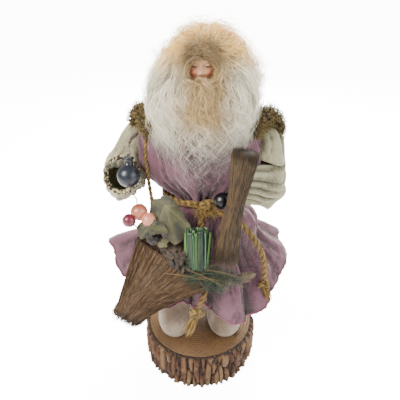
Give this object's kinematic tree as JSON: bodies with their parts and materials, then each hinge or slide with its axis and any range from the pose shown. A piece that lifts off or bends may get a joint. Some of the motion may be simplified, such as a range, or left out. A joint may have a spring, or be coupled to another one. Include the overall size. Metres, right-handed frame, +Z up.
{
  "type": "santa figurine",
  "caption": "Old-world santa figure in a soft mauve robe with a big wool beard, holding a twig bundle and a fibre pouch of dried plants, standing on a slice of log.",
  "frame": {"origin": "centre of the log slice's underside", "axes": "+Z up, the figure faces -Y, and its left hand with the twig bundle is on +X"},
  "size_m": [0.1222, 0.0953, 0.2465],
  "materials": {
    "log": "sawn and raw, with bark",
    "boot_cloth": "soft suede cloth",
    "robe_cloth": "crushed cotton",
    "face": "painted satin",
    "wool": "combed wool roving",
    "fur": "curly lamb's wool",
    "sleeve_cloth": "washed cotton",
    "lace": "nubby trim",
    "wrapped_wire": "tape over wire",
    "dark_ball": "glossy",
    "palm_fibre": "dry fibre",
    "jute": "twisted cord",
    "dried_plant": "dry",
    "green_plant": "semi gloss",
    "ivy_cloth": "stiff printed cloth",
    "coral_bead": "pearly",
    "red_bead": "lacquered"
  },
  "bodies": {
    "root": {"log_slice": "log", "boot_right": "boot_cloth", "boot_left": "boot_cloth", "robe": "robe_cloth", "head": "face", "beard": "wool", "mane": "wool", "fur_trim_right": "fur", "fur_trim_left": "fur", "sleeve_right": "sleeve_cloth", "sleeve_left": "sleeve_cloth", "cuff_trim": "lace", "arm_right": "wrapped_wire", "hand_right": "dark_ball", "hand_left": "dark_ball", "twig_bundle": "palm_fibre", "belt_rope": "jute", "belt_knot": "jute", "belt_tail_front": "jute", "belt_tail_front_knot": "jute", "belt_tail_side": "jute", "belt_tail_side_knot": "jute", "pouch_strap": "jute", "pouch": "palm_fibre", "dried_cone": "dried_plant", "dark_berry": "dried_plant", "green_blades": "green_plant", "needle_spray": "green_plant", "dried_leaf": "dried_plant", "ivy_leaf_large": "ivy_cloth", "ivy_leaf_small": "ivy_cloth", "berry_coral_upper": "coral_bead", "berry_coral_lower": "coral_bead", "berry_red": "red_bead"}
  },
  "joints": []
}
